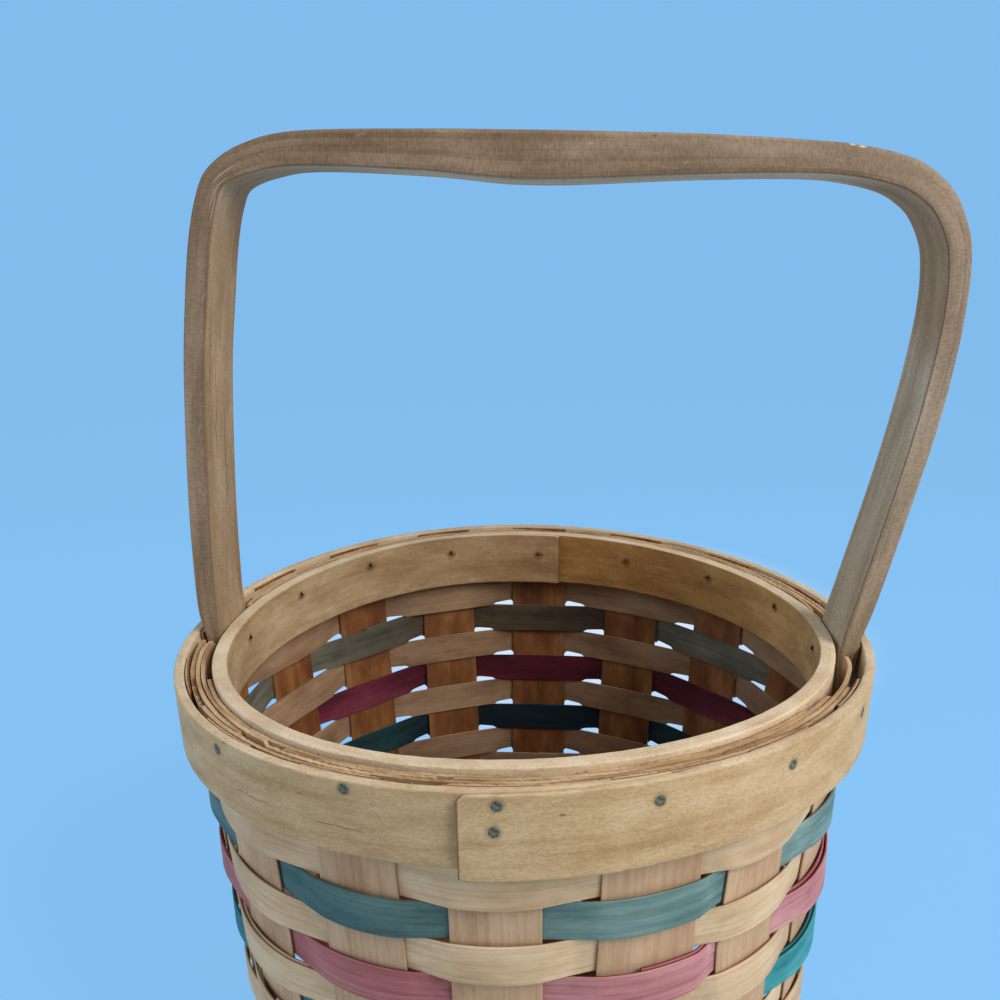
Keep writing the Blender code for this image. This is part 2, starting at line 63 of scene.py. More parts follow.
# Stakes and base
# Eight splints of pale wood, cut flat and thin.  They cross over and under in a square base,
# turn up and become sixteen stakes, which lean a little to either side as they were woven in.
AXIS_X = -0.0091
RIM_HEIGHT = 0.170
STAKE_ANGLE = pi / 8
STAKE_WIDTH = 0.0245
STAKE_THICKNESS = 0.0009
STAKE_RADIUS = 0.11605
SHOULDER_DEPTH = 0.0242
SHOULDER_RADIUS = 0.11185
WALL_TAPER = 0.10
WALL_TILT = atan(WALL_TAPER)
RIM_SADDLE = 0.0023
SADDLE_HIGH_AT = radians(-72.0)
RIM_OVAL = 0.0020
OVAL_LONG_AT = radians(60.0)
STAKE_LEAN = ((-157.5, 0.0), (-135.0, 2.9), (-112.5, 2.3), (-90.0, -0.6), (-67.5, -2.4),
              (-45.0, -4.4), (-22.5, -4.8), (0.0, 0.0))
LEAN_FROM = 0.009
LEAN_FULL = 0.105
WIDE_STAKE = 13
WIDE_STAKE_EXTRA = 0.0050
BASE_HEIGHT = 0.00105
BASE_CROSSING = 0.0006
BEND_RADIUS = 0.009
BEND_ANGLE = pi / 2 - WALL_TILT
BASE_RADIUS = SHOULDER_RADIUS - WALL_TAPER * (RIM_HEIGHT - SHOULDER_DEPTH - BASE_HEIGHT)
FLAT_RADIUS = BASE_RADIUS - BEND_RADIUS * tan(BEND_ANGLE / 2)
BASE_PITCH = 2 * (FLAT_RADIUS / sqrt(2.0) - 0.003 - STAKE_WIDTH / 2) / 3
BASE_TURN = radians(11.25)
STAKE_TOP_DROP = 0.0006


def wall_radius(depth):
    """Middle of a stake at a depth below the rim; it turns inwards under the outer hoop."""
    if depth < SHOULDER_DEPTH:
        return STAKE_RADIUS + (SHOULDER_RADIUS - STAKE_RADIUS) * depth / SHOULDER_DEPTH
    return SHOULDER_RADIUS - WALL_TAPER * (depth - SHOULDER_DEPTH)


def wall_point(angle, radius, depth):
    """A point at an angle about the basket, a mean radius and a depth below the rim."""
    height = RIM_HEIGHT - depth
    saddle = RIM_SADDLE * cos(2 * (angle - SADDLE_HIGH_AT)) * (height / RIM_HEIGHT) ** 2
    radius += RIM_OVAL * cos(2 * (angle - OVAL_LONG_AT)) * min(1.0, height / LEAN_FULL)
    return Vector((AXIS_X + radius * cos(angle), radius * sin(angle), height + saddle))


def lean(angle, height):
    """Sideways lean of a stake, from the bend of the base up."""
    turn = degrees(angle + pi) % 360.0 - 180.0
    amount = 0.0
    for (start, first), (stop, last) in zip(STAKE_LEAN, STAKE_LEAN[1:]):
        if start <= turn <= stop:
            amount = first + (last - first) * (turn - start) / (stop - start)
    return radians(amount) * min(1.0, max(0.0, (height - LEAN_FROM) / (LEAN_FULL - LEAN_FROM)))


def beside_stake(number, aside):
    """How far a point stands from the middle of a stake; one stake was split wider to its right."""
    if number % 16 == WIDE_STAKE and aside > 0:
        return aside * (1.0 + 2 * WIDE_STAKE_EXTRA / STAKE_WIDTH)
    return aside


def edges_along(bm, axis):
    """The straight edges of a board that run along one axis."""
    runs = [(edge, edge.verts[1].co - edge.verts[0].co) for edge in bm.edges]
    return [edge for edge, run in runs if abs(run[axis]) > 0.999 * run.length]


def saw_board(length, width, thickness, cuts, ease, across=1):
    """A straight strip with eased edges: x with the grain, y across it, z through it."""
    bm = bmesh.new()
    bmesh.ops.create_cube(bm, size=1.0)
    bmesh.ops.scale(bm, vec=(length, width, thickness), verts=bm.verts)
    bmesh.ops.bevel(bm, geom=edges_along(bm, 0), offset=ease, segments=2, profile=0.5,
                    affect="EDGES", material=-1)
    if across > 1:
        bmesh.ops.subdivide_edges(bm, edges=edges_along(bm, 1), cuts=across - 1,
                                  use_grid_fill=True)
    bmesh.ops.subdivide_edges(bm, edges=edges_along(bm, 0), cuts=cuts, use_grid_fill=True)
    return bm


def bend_board(bm, where, log):
    """Bend a straight strip, and keep each point's place in the log that it was cut from."""
    grain = bm.verts.layers.float_vector.new("grain")
    for vert in bm.verts:
        vert[grain] = vert.co + log
        vert.co = where(*vert.co)


def finish_piece(name, bm, wood, slot, *nodes):
    """Make the mesh an object in place of its plain solids."""
    bmesh.ops.recalc_face_normals(bm, faces=bm.faces)
    mesh = bpy.data.meshes.new(name)
    bm.to_mesh(mesh)
    bm.free()
    mesh.shade_smooth()
    mesh.set_sharp_from_angle(angle=radians(50.0))
    mesh.materials.append(wood)
    piece = bpy.data.objects.new(name, mesh)
    bpy.context.collection.objects.link(piece)
    normals = piece.modifiers.new("flat_faces_stay_flat", "WEIGHTED_NORMAL")
    normals.keep_sharp = True
    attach(piece, "root")
    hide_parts(*nodes)
    return piece


def wander(spot, size, reach):
    """A slow random drift of at most about the reach, over lengths of the given size."""
    return reach * noise.noise(Vector((spot / size, 3.7, 1.3)))


class MaterialNodes:
    """Short ways to add the nodes of a wood or a steel to its material."""

    def __init__(self, name, roughness):
        self.material = bpy.data.materials.new(name)
        self.material.use_nodes = True
        self.tree = self.material.node_tree
        self.shader = self.tree.nodes["Principled BSDF"]
        self.shader.inputs["Roughness"].default_value = roughness
        self.shader.inputs["Specular IOR Level"].default_value = 0.2
        self.grain = self.tree.nodes.new("ShaderNodeAttribute")
        self.grain.attribute_name = "grain"

    def link(self, source, target):
        self.tree.links.new(source, target)

    def fibres(self, stretch, detail=3.0, roughness=0.55, distortion=0.0):
        """Noise stretched by the number of features in a metre of each direction."""
        mapping = self.tree.nodes.new("ShaderNodeMapping")
        mapping.inputs["Scale"].default_value = stretch
        self.link(self.grain.outputs["Vector"], mapping.inputs["Vector"])
        texture = self.tree.nodes.new("ShaderNodeTexNoise")
        texture.inputs["Scale"].default_value = 1.0
        texture.inputs["Detail"].default_value = detail
        texture.inputs["Roughness"].default_value = roughness
        texture.inputs["Distortion"].default_value = distortion
        self.link(mapping.outputs["Vector"], texture.inputs["Vector"])
        return texture.outputs["Fac"]

    def ramp(self, source, stops):
        """Colours or greys along a value; each stop is a place and a colour."""
        ramp = self.tree.nodes.new("ShaderNodeValToRGB")
        elements = ramp.color_ramp.elements
        while len(elements) < len(stops):
            elements.new(0.5)
        for element, (place, colour) in zip(elements, stops):
            element.position = place
            element.color = (*colour, 1.0)
        self.link(source, ramp.inputs["Fac"])
        return ramp.outputs["Color"]

    def mask(self, source, low, high, most=1.0):
        """Black below the low value, and white or a grey above the high one."""
        return self.ramp(source, ((low, (0, 0, 0)), (high, (most, most, most))))

    def mix(self, kind, factor, first, second):
        """Blend two colours; a factor, or the second colour, may be a number or a socket."""
        mix = self.tree.nodes.new("ShaderNodeMix")
        mix.data_type = "RGBA"
        mix.blend_type = kind
        for socket, value in ((mix.inputs["Factor"], factor), (mix.inputs[6], first),
                              (mix.inputs[7], second)):
            if isinstance(value, bpy.types.NodeSocket):
                self.link(value, socket)
            elif isinstance(value, tuple):
                socket.default_value = (*value, 1.0)
            else:
                socket.default_value = value
        return mix.outputs[2]

    def part(self, axis, first, last):
        """A share that goes from 0 at one place on an axis of the log to 1 at the other."""
        split = self.tree.nodes.new("ShaderNodeSeparateXYZ")
        self.link(self.grain.outputs["Vector"], split.inputs["Vector"])
        share = self.tree.nodes.new("ShaderNodeMapRange")
        share.inputs["From Min"].default_value = first
        share.inputs["From Max"].default_value = last
        self.link(split.outputs[axis], share.inputs["Value"])
        return share.outputs["Result"]

    def near(self, spots, stretch, reach, most, wobble=0.0):
        """White at some places in the log, fading out over a reach; stretch narrows them."""
        place = self.grain.outputs["Vector"]
        if wobble:
            texture = self.tree.nodes.new("ShaderNodeTexNoise")
            texture.inputs["Scale"].default_value = 190.0
            self.link(place, texture.inputs["Vector"])
            shift = self.tree.nodes.new("ShaderNodeVectorMath")
            shift.operation = "MULTIPLY_ADD"
            shift.inputs[1].default_value = (wobble, wobble, 0.0)
            self.link(texture.outputs["Color"], shift.inputs[0])
            self.link(place, shift.inputs[2])
            place = shift.outputs["Vector"]
        scaled = self.tree.nodes.new("ShaderNodeVectorMath")
        scaled.operation = "MULTIPLY"
        scaled.inputs[1].default_value = stretch
        self.link(place, scaled.inputs[0])
        nearest = None
        for spot in spots:
            distance = self.tree.nodes.new("ShaderNodeVectorMath")
            distance.operation = "DISTANCE"
            distance.inputs[1].default_value = [
                (value + shift) * factor
                for value, shift, factor in zip(spot, (0.5 * wobble, 0.5 * wobble, 0.0), stretch)]
            self.link(scaled.outputs["Vector"], distance.inputs[0])
            if nearest is None:
                nearest = distance.outputs["Value"]
                continue
            closer = self.tree.nodes.new("ShaderNodeMath")
            closer.operation = "MINIMUM"
            self.link(nearest, closer.inputs[0])
            self.link(distance.outputs["Value"], closer.inputs[1])
            nearest = closer.outputs["Value"]
        fade = self.tree.nodes.new("ShaderNodeMapRange")
        fade.inputs["From Min"].default_value = reach
        fade.inputs["From Max"].default_value = 0.6 * reach
        fade.inputs["To Max"].default_value = most
        self.link(nearest, fade.inputs["Value"])
        return fade.outputs["Result"]

    def bump(self, source, height, strength=0.6):
        """Raise the surface by a value; more than one bump adds up."""
        bump = self.tree.nodes.new("ShaderNodeBump")
        bump.inputs["Distance"].default_value = height
        bump.inputs["Strength"].default_value = strength
        self.link(source, bump.inputs["Height"])
        normal = self.shader.inputs["Normal"]
        if normal.links:
            self.link(normal.links[0].from_socket, bump.inputs["Normal"])
        self.link(bump.outputs["Normal"], normal)

    def colour(self, source):
        self.link(source, self.shader.inputs["Base Color"])
        return self.material


# How far along the log the painted shade on a splint's inner side reaches.
INNER_SHADE_REACH = 0.085


def split_wood(name, outside, inside, roughness=0.66, streaks=0.5, worn=0.25, darker=None,
               inner_painted_shade=None):
    """Thin split wood: soft patches, fine fibres, a few dark pores, pale wear, and its inner side.

    Its outer side may be darker, by a colour, towards the second of two places along the log, and
    its inner side may have painted shade, by a colour, about one place.  Both follow what was seen;
    some of it may be shade, not stain.
    """
    wood = MaterialNodes(name, roughness)
    tone = wood.fibres((30.0, 75.0, 60.0), detail=4.0, roughness=0.6)
    fibre = wood.fibres((26.0, 900.0, 500.0), detail=4.0, distortion=0.3)
    pore = wood.fibres((240.0, 2300.0, 1200.0), detail=2.0)
    rubbed = wood.fibres((80.0, 420.0, 100.0), detail=5.0, roughness=0.7)
    faces = [wood.ramp(tone, ((0.34, dark), (0.50, middle), (0.66, pale)))
             for dark, middle, pale in (outside, inside)]
    faces[0] = wood.mix("MIX", wood.mask(rubbed, 0.56, 0.76, worn), faces[0], (0.74, 0.66, 0.54))
    if darker:
        faces[0] = wood.mix("MULTIPLY", wood.part("X", *darker[:2]), faces[0], darker[2])
    # Painted shade, by a colour, on the inner side about one place along the log.
    if inner_painted_shade:
        about = wood.near(((inner_painted_shade[0], 0.0, 0.0),), (1.0, 0.0, 0.0), INNER_SHADE_REACH, 1.0)
        faces[1] = wood.mix("MULTIPLY", about, faces[1], inner_painted_shade[1])
    base = wood.mix("MIX", wood.part("Z", 0.0001, -0.0001), faces[0], faces[1])
    lines = wood.ramp(fibre, ((0.34, (0.66, 0.60, 0.55)), (0.52, (0.94, 0.93, 0.92)),
                              (0.66, (1.0, 1.0, 1.0))))
    base = wood.mix("MULTIPLY", streaks, base, lines)
    base = wood.mix("MULTIPLY", wood.mask(pore, 0.66, 0.76), base, (0.74, 0.68, 0.62))
    wood.bump(fibre, 0.00012)
    wood.bump(rubbed, 0.00008)
    wood.shader.inputs["Specular IOR Level"].default_value = 0.35
    return wood.colour(base)


# The inner side's colours are partly the wood's own darker tone and partly painted shade of the
# basket's inside.
stake_wood = split_wood(
    "stake_wood",
    ((0.48, 0.310, 0.190), (0.56, 0.380, 0.240), (0.63, 0.455, 0.310)),
    ((0.13, 0.038, 0.009), (0.22, 0.081, 0.022), (0.33, 0.150, 0.050)))


def splint_place(way, index):
    """The bent shape of one splint, from the middle of the base to both stake tops."""
    rank = index - 1.5
    heading = BASE_TURN + way * pi / 2
    offset = rank * BASE_PITCH
    forward = Vector((cos(heading), sin(heading), 0.0))
    left = Vector((-sin(heading), cos(heading), 0.0))
    weave_end = 1.5 * BASE_PITCH + STAKE_WIDTH / 2
    flat_end = sqrt(FLAT_RADIUS ** 2 - offset ** 2)
    bend_end = flat_end + BEND_RADIUS * BEND_ANGLE
    bend_depth = RIM_HEIGHT - BASE_HEIGHT - BEND_RADIUS * tan(BEND_ANGLE / 2) * cos(WALL_TILT)
    first_crossing = 0 if way else 3
    over = 1.0 if (first_crossing + index + way) % 2 else -1.0

    def where(along, across, through):
        side = 1.0 if along > 0 else -1.0
        run = abs(along)
        across += wander(along + index + way * 9, 0.02, 0.0003) * across / (STAKE_WIDTH / 2)
        head = heading if side > 0 else heading + pi
        even = head + side * rank * STAKE_ANGLE
        aside = beside_stake(round(even / STAKE_ANGLE), side * across)
        if run < flat_end:
            reach = run
            if run > weave_end:
                share = (run - weave_end) / (flat_end - weave_end)
                rim = sqrt(FLAT_RADIUS ** 2 - (offset + across) ** 2)
                reach = weave_end + (rim - weave_end) * share
            swing = cos(pi * (side * min(run, 2 * BASE_PITCH) / BASE_PITCH + 1.5))
            height = BASE_HEIGHT + BASE_CROSSING * over * min(1.0, max(-1.0, 2.8 * swing))
            spot = forward * side * reach + left * (offset + across)
            return Vector((AXIS_X + spot.x, spot.y, height - through))
        if run < bend_end:
            share = 1.0 - (run - flat_end) / (bend_end - flat_end)
            swing = WALL_TILT + BEND_ANGLE * share
            radius = FLAT_RADIUS + BEND_RADIUS * cos(swing)
            height = BASE_HEIGHT + BEND_RADIUS * (1.0 - sin(swing))
            on_wall = even + aside / radius
            on_base = head + side * asin((offset + across) / radius)
            angle = on_wall + (on_base - on_wall) * share
            radius += through * cos(swing)
            height -= through * sin(swing)
            return Vector((AXIS_X + radius * cos(angle), radius * sin(angle), height))
        depth = bend_depth - (run - bend_end) * cos(WALL_TILT)
        radius = wall_radius(depth)
        angle = even + aside / radius + lean(even, RIM_HEIGHT - depth)
        return wall_point(angle, radius + through, depth)

    wall_run = (bend_depth - STAKE_TOP_DROP) / cos(WALL_TILT)
    return where, 2 * (bend_end + wall_run)


for way, label in enumerate(("lengthwise", "crosswise")):
    for index in range(4):
        where, length = splint_place(way, index)
        bm = saw_board(length, STAKE_WIDTH, STAKE_THICKNESS, 230, 0.0002, across=4)
        bend_board(bm, where, Vector((index * 1.7 + way * 9.1, index * 0.31 + way, 0.0)))
        finish_piece(f"splint_{label}_{index + 1}", bm, stake_wood, "stake_wood",
                     f"stake_splint_{label}_{index + 1}")

# Weavers
# Narrow splints woven over one stake and under the next, a ring to each row, with both ends
# lapped over three stakes.  Rows two, four and six are stained.  Light shows beside crossings,
# where a splint is a little narrow, and the rows stand somewhat higher at the back.
WEAVER_WIDTH = 0.0118
WEAVER_THICKNESS = 0.0009
ROW_PITCH = 0.0120
FIRST_ROW_DEPTH = 0.0258
WEAVE_OUT = 0.0016
WEAVE_SAG = 0.0009
WEAVE_IN = 0.0015
WEAVER_LAYER = 0.0012
LAPPED_STAKES = 3
ROW_LAP_STAKE = (4, 3, 6, 13, 8, 13, 10, 1, 14, 5, 0)
EDGE_SHARE = 0.27
SLOT_HEIGHT = 0.0008
SLOT_UNEVEN = 0.8
TOP_ROW_EXTRA = 0.0018
ROW_RISE = 0.0012
BACK_RISE = 0.0008
ROW_STRAY = 0.0006
LOOSENESS = 0.22


def weaver_angle(place, radius, depth):
    """Angle of a point of a weaver; each whole place is the middle of a stake."""
    stake = round(place)
    beside = place - stake
    half = STAKE_WIDTH / 2

    def of_stake(number, aside):
        even = number * STAKE_ANGLE
        return even + lean(even, RIM_HEIGHT - depth) + beside_stake(number, aside) / radius

    if abs(beside) <= EDGE_SHARE:
        return of_stake(stake, half * beside / EDGE_SHARE)
    first = stake if beside > 0 else stake - 1
    share = (place - first - EDGE_SHARE) / (1.0 - 2.0 * EDGE_SHARE)
    return of_stake(first, half) * (1.0 - share) + of_stake(first + 1, -half) * share


def weaver_place(row, length):
    """The woven shape of one row and the place in the ring where it starts."""
    start = ROW_LAP_STAKE[row - 1]
    if (start + row) % 2 == 0:
        start += 1
    top = FIRST_ROW_DEPTH + (row - 1) * ROW_PITCH

    def where(along, across, through):
        place = start + (along / length + 0.5) * (16 + LAPPED_STAKES)
        wave = cos(pi * (place + row + 1))
        looseness = 1.0 + LOOSENESS * noise.noise(Vector((round(place) * 1.7, row * 2.3, 0.5)))
        low = 0.5 - across / WEAVER_WIDTH
        bulge = (WEAVE_OUT + WEAVE_SAG * low) * looseness
        shift = wave * (bulge if wave > 0 else WEAVE_IN)
        inward = (1.0 - wave) / 2
        inward = inward * inward * (3.0 - 2.0 * inward)
        if place - start <= LAPPED_STAKES + 0.5:
            shift -= WEAVER_LAYER * inward * min(1.0, 2.0 * (LAPPED_STAKES + 0.5 - place + start))
        if place - start >= 15.5:
            shift += WEAVER_LAYER * (1.0 - inward) * min(1.0, 2.0 * (place - start - 15.5))
        depth = top + WEAVER_WIDTH / 2 - across
        depth += wander(place, 1.3, ROW_STRAY)
        depth -= ROW_RISE + BACK_RISE * sin(place * STAKE_ANGLE)
        if row == 1:
            depth -= TOP_ROW_EXTRA * (1.0 - low)
        beyond = (abs(place - round(place)) - EDGE_SHARE) / (0.5 - EDGE_SHARE)
        if (round(place) + row) % 2 and beyond > 0.0:
            slack = SLOT_HEIGHT * (1.0 + SLOT_UNEVEN * sin(place * STAKE_ANGLE)) * (1.0 - 0.4 * beyond)
            depth -= slack * low * sqrt(min(1.0, 9.0 * beyond, 7.0 * (1.0 - beyond)))
        radius = wall_radius(depth)
        angle = weaver_angle(place, radius, depth)
        return wall_point(angle, radius + shift + through, depth)

    return where


# The inner sides' colours are partly the wood's own darker tone and partly painted shade of the
# basket's inside, and the dyed rows have more painted shade on their inner side about the back.
natural_wood = split_wood(
    "natural_weaver_wood",
    ((0.54, 0.385, 0.235), (0.66, 0.500, 0.325), (0.75, 0.605, 0.430)),
    ((0.21, 0.120, 0.068), (0.31, 0.190, 0.112), (0.40, 0.265, 0.165)))
sage_wood = split_wood(
    "sage_stained_wood",
    ((0.120, 0.235, 0.240), (0.190, 0.330, 0.335), (0.290, 0.430, 0.430)),
    ((0.085, 0.080, 0.058), (0.140, 0.134, 0.102), (0.205, 0.200, 0.160)), streaks=0.8, worn=0.30,
    darker=(3.90, 3.74, (0.38, 0.50, 0.50)), inner_painted_shade=(3.436, (0.50, 0.34, 0.23)))
rose_wood = split_wood(
    "rose_stained_wood",
    ((0.45, 0.170, 0.200), (0.57, 0.270, 0.300), (0.66, 0.370, 0.400)),
    ((0.075, 0.006, 0.016), (0.135, 0.014, 0.036), (0.200, 0.034, 0.066)), streaks=0.8, worn=0.20,
    darker=(7.93, 7.80, (0.76, 0.54, 0.55)), inner_painted_shade=(7.495, (0.60, 0.25, 0.38)))
teal_wood = split_wood(
    "teal_stained_wood",
    ((0.014, 0.190, 0.235), (0.035, 0.320, 0.380), (0.085, 0.440, 0.500)),
    ((0.004, 0.030, 0.036), (0.009, 0.056, 0.064), (0.020, 0.094, 0.104)), streaks=0.8, worn=0.08,
    darker=(11.72, 11.60, (0.50, 0.58, 0.56)), inner_painted_shade=(11.298, (0.28, 0.25, 0.32)))
ROW_FINISH = {2: ("sage", sage_wood), 4: ("rose", rose_wood), 6: ("teal", teal_wood)}

for row in range(1, 12):
    dye, wood = ROW_FINISH.get(row, ("natural", natural_wood))
    radius = wall_radius(FIRST_ROW_DEPTH + row * ROW_PITCH)
    length = STAKE_ANGLE * (16 + LAPPED_STAKES) * radius
    bm = saw_board(length, WEAVER_WIDTH, WEAVER_THICKNESS, 900, 0.0002)
    bend_board(bm, weaver_place(row, length), Vector((row * 1.9, row * 0.37, 0.0)))
    finish_piece(f"row_{row:02d}_{dye}", bm, wood, f"{dye}_weaver", f"weaver_{row:02d}_{dye}")

# Inner hoop
# A bent strip of golden wood inside the stake tops.  Its ends are shaved thin and lap at the
# back, and its inner face is smooth and browner than its top edge.
LAP_ANGLE = radians(27.0)
LAP_TIP = 0.0013
LAP_FEATHER = 0.0006
GAP = 0.0003
INNER_HOOP_RADIUS = 0.1081
INNER_HOOP_THICKNESS = 0.0050
INNER_HOOP_HEIGHT = 0.0220
INNER_HOOP_TAPER = 0.03
INNER_HOOP_CORNER = 0.0006
CLENCH_DROP = 0.0028
INNER_LAP_AT = radians(84.5)


def corner_cut(from_end, radius):
    """How far the rounded corner of a hoop's end stands back from its edge."""
    short = min(radius, max(0.0, radius - from_end))
    return radius - sqrt(radius ** 2 - short ** 2)


def hoop_place(lap_at, thickness, height, narrowing, corner, seat, growth, length):
    """A hoop whose first end laps over its last; growth is the way to its free face."""

    def where(along, across, through):
        turn = (along / length + 0.5) * (2 * pi + LAP_ANGLE)
        near, far = 0.0, thickness
        if turn < LAP_ANGLE:
            share = turn / LAP_ANGLE
            near = thickness + (LAP_FEATHER - thickness) * share + GAP
            far = thickness + (LAP_TIP + GAP) * (1.0 - share)
        elif turn > 2 * pi:
            far = thickness + (LAP_FEATHER - thickness) * (turn - 2 * pi) / LAP_ANGLE
        else:
            near = (LAP_FEATHER + GAP) * max(0.0, 1.0 - (turn - LAP_ANGLE) / radians(4.0))
        from_end = min(turn, 2 * pi + LAP_ANGLE - turn) * seat(0.0)
        top = corner_cut(from_end, corner)
        bottom = height - narrowing * min(1.0, turn / (2 * pi)) - corner_cut(from_end, corner / 3)
        depth = top + (bottom - top) * (0.5 - across / height)
        depth += wander(turn + across * 400, 0.045, 0.00012)
        layer = near + (far - near) * (through / thickness + 0.5)
        layer += wander(turn, 0.9, 0.0003) + wander(turn + across * 40, 0.35, 0.0001)
        return wall_point(lap_at + turn, seat(depth) + growth * layer, depth)

    return where


def hoop_log(angle, depth, lap_at, height, length):
    """Place in the log of a point of a hoop's free face."""
    turn = (angle - lap_at) % (2 * pi)
    return (turn / (2 * pi + LAP_ANGLE) - 0.5) * length, height * 0.5 - depth


def hoop_wood(name, face, back, roughness, edge, length, nails, torn, cracks, tints=()):
    """Bent strip wood, worn smooth: soft blotches, faint grain, pale scuffs and a few pits.

    The wood is dark at its ends and torn about the nails, with short splits along the grain.
    """
    wood = MaterialNodes(name, roughness)
    blotch = wood.fibres((45.0, 120.0, 80.0), detail=6.0, roughness=0.68)
    line = wood.fibres((10.0, 330.0, 500.0), detail=5.0, distortion=0.5)
    nap = wood.fibres((900.0, 2100.0, 2100.0), detail=3.0, roughness=0.7)
    scuff = wood.fibres((110.0, 380.0, 100.0), detail=6.0, roughness=0.75)
    pit = wood.fibres((150.0, 380.0, 300.0), detail=1.0)
    faces = [wood.ramp(blotch, ((0.34, dark), (0.50, middle), (0.64, pale)))
             for dark, middle, pale in (face, back)]
    if tints:
        faces[0] = wood.mix("MULTIPLY", 1.0, faces[0],
                            wood.ramp(wood.part("X", -length / 2, length / 2), tints))
    base = wood.mix("MIX", wood.part("Z", edge + 0.0002, edge - 0.0002), faces[0], faces[1])
    base = wood.mix("MULTIPLY", 0.45, base, wood.ramp(
        line, ((0.32, (0.70, 0.60, 0.48)), (0.48, (0.96, 0.94, 0.92)), (0.60, (1.0, 1.0, 1.0)))))
    base = wood.mix("MULTIPLY", 0.7, base, wood.ramp(
        nap, ((0.38, (0.74, 0.70, 0.66)), (0.58, (1.0, 1.0, 1.0)))))
    base = wood.mix("MIX", wood.mask(scuff, 0.58, 0.76, 0.45), base, (0.82, 0.72, 0.56))
    base = wood.mix("MULTIPLY", wood.mask(pit, 0.76, 0.82), base, (0.58, 0.46, 0.34))
    halo = wood.near(nails, (1.0, 1.0, 0.0), 0.0026, 0.5)
    base = wood.mix("MULTIPLY", halo, base, (0.45, 0.36, 0.26))
    for stretch, most in (((0.42, 1.5, 0.0), 0.70), ((1.0, 0.8, 0.0), 0.40)):
        base = wood.mix("MIX", wood.near(nails, stretch, torn, most, 3.0 * torn), base,
                        (0.120, 0.070, 0.038))
    base = wood.mix("MULTIPLY", wood.part("X", 0.0006 - length / 2, 0.0002 - length / 2), base,
                    (0.38, 0.30, 0.24))
    if cracks:
        split = wood.near(cracks, (0.018, 1.0, 0.0), 0.00020, 0.75, 0.0022)
        base = wood.mix("MIX", split, base, (0.12, 0.07, 0.035))
    wood.bump(line, 0.00010, 0.4)
    wood.bump(nap, 0.00008, 0.5)
    wood.bump(scuff, 0.00008, 0.4)
    return wood.colour(base)


def inner_hoop_seat(depth):
    """Radius of the inner hoop's outer face at a depth below the rim."""
    return INNER_HOOP_RADIUS - INNER_HOOP_TAPER * depth


NAIL_ASTRAY = {10: 0.8, 11: 1.7, 12: 0.9, 13: -0.3, 14: 0.4}
NAIL_ANGLES = [index * STAKE_ANGLE + lean(index * STAKE_ANGLE, RIM_HEIGHT)
               + radians(NAIL_ASTRAY.get(index, 0.0)) for index in range(16)]
NAIL_DEPTHS = [0.0048 + 0.0020 * cos(3 * (index * STAKE_ANGLE + radians(37.0)))
               for index in range(16)]

length = (2 * pi + LAP_ANGLE) * (INNER_HOOP_RADIUS - INNER_HOOP_THICKNESS / 2)
inner_hoop_wood = hoop_wood(
    "inner_hoop_wood",
    ((0.46, 0.305, 0.155), (0.58, 0.394, 0.210), (0.68, 0.490, 0.290)),
    ((0.62, 0.48, 0.33), (0.74, 0.60, 0.43), (0.81, 0.69, 0.53)),
    roughness=0.70, edge=0.0022, length=length,
    nails=[(*hoop_log(angle, depth + CLENCH_DROP, INNER_LAP_AT, INNER_HOOP_HEIGHT, length), 0.0)
           for angle, depth in zip(NAIL_ANGLES, NAIL_DEPTHS)],
    torn=0.0012, cracks=(),
    tints=((0.00, (0.68, 0.61, 0.56)), (0.15, (0.80, 0.85, 0.92)), (0.55, (0.82, 0.86, 0.90)),
           (0.71, (1.00, 0.95, 0.84)), (0.78, (0.96, 0.84, 0.60)), (0.86, (0.66, 0.49, 0.29)),
           (1.00, (0.60, 0.44, 0.24))))
bm = saw_board(length, INNER_HOOP_HEIGHT, INNER_HOOP_THICKNESS, 340, 0.0006, across=3)
bend_board(bm, hoop_place(INNER_LAP_AT, INNER_HOOP_THICKNESS, INNER_HOOP_HEIGHT, 0.0,
                          INNER_HOOP_CORNER, inner_hoop_seat, -1.0, length),
           Vector((0.0, 0.0, 0.0)))
finish_piece("hoop_inside", bm, inner_hoop_wood, "hoop_wood", "inner_hoop")

# Rim filler
# Raw splints stand between the hoops to fill the rim.  Their upper edges are rough, and here
# and there the wood has broken away; their ends curl and stop short of the handle's feet.
FILLER_LAYERS = 4
FILLER_TOP = 0.0007
FILLER_HEIGHT = 0.0185
FOOT_ROOM = 0.0148
TORN_RUN = 0.12
TORN_DEPTH = 0.0060
CURL_RUN = 0.09
FILLER_ENDS = {
    ("front", 0): (0.330, 0.420), ("front", 1): (0.050, 0.300), ("front", 2): (0.030, 0.055),
    ("front", 3): (0.010, 0.200), ("back", 0): (0.010, 0.120), ("back", 1): (0.100, 0.010),
    ("back", 2): (0.010, 0.080), ("back", 3): (0.015, 0.010),
}
FILLER_CURLS = {("front", 1): (0.0012, 0.0004), ("front", 2): (0.0016, 0.0012),
                ("back", 1): (0.0010, 0.0010)}
FILLER_BREAKS = {
    ("front", 0): ((radians(-84.0), radians(6.0), 0.0010),),
    ("front", 1): ((radians(-124.0), radians(2.0), 0.0040), (radians(-97.0), radians(1.2), 0.0020)),
    ("front", 2): ((radians(-128.0), radians(3.5), 0.0050), (radians(-60.0), radians(2.0), 0.0015)),
    ("front", 3): ((radians(-101.0), radians(5.0), 0.0012), (radians(-150.0), radians(7.0), 0.0018)),
}

raw_wood = split_wood(
    "raw_splint_wood",
    ((0.38, 0.22, 0.11), (0.54, 0.37, 0.21), (0.66, 0.50, 0.33)),
    ((0.34, 0.19, 0.09), (0.50, 0.33, 0.18), (0.62, 0.46, 0.29)), roughness=0.9, streaks=1.0)


